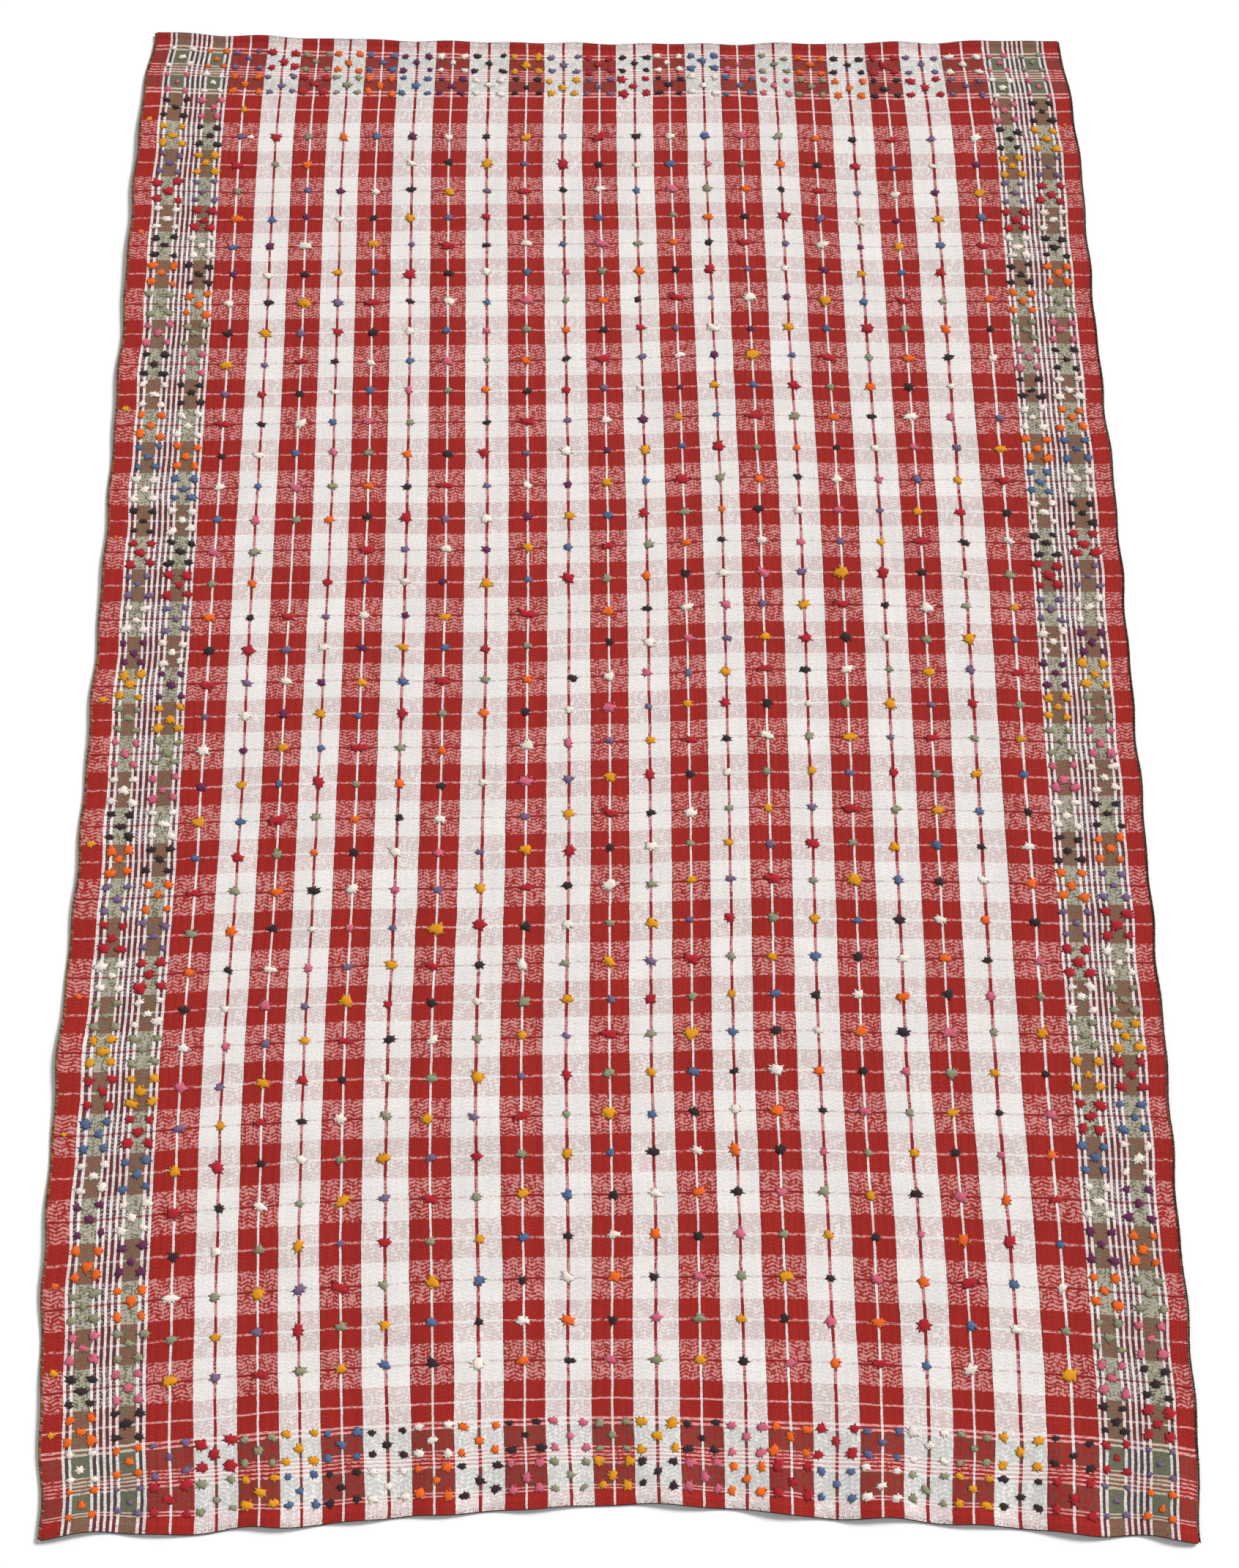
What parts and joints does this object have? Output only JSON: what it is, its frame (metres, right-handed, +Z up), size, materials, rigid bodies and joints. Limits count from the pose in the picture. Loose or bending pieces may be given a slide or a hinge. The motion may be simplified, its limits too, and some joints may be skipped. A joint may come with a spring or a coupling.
{
  "type": "kilim",
  "caption": "Flat woven checked wool rug with striped borders, rows of small wool tufts and whipped edges, lying on the floor.",
  "frame": {"origin": "on the floor under the middle of the rug", "axes": "+X across the rug, +Y along it towards the far end, +Z up"},
  "size_m": [1.7405, 2.5974, 0.0108],
  "materials": {
    "kilim_cloth": "matte wool twill in red, white and grey green checks",
    "side_whipping_yarn": "matte wool yarn, rust and dark brown by turns",
    "end_whipping_yarn": "matte dark brown wool yarn"
  },
  "bodies": {
    "root": {"cloth": "kilim_cloth", "side_whipping_left": "side_whipping_yarn", "side_whipping_right": "side_whipping_yarn", "end_whipping_near": "end_whipping_yarn", "end_whipping_far": "end_whipping_yarn"}
  },
  "joints": []
}
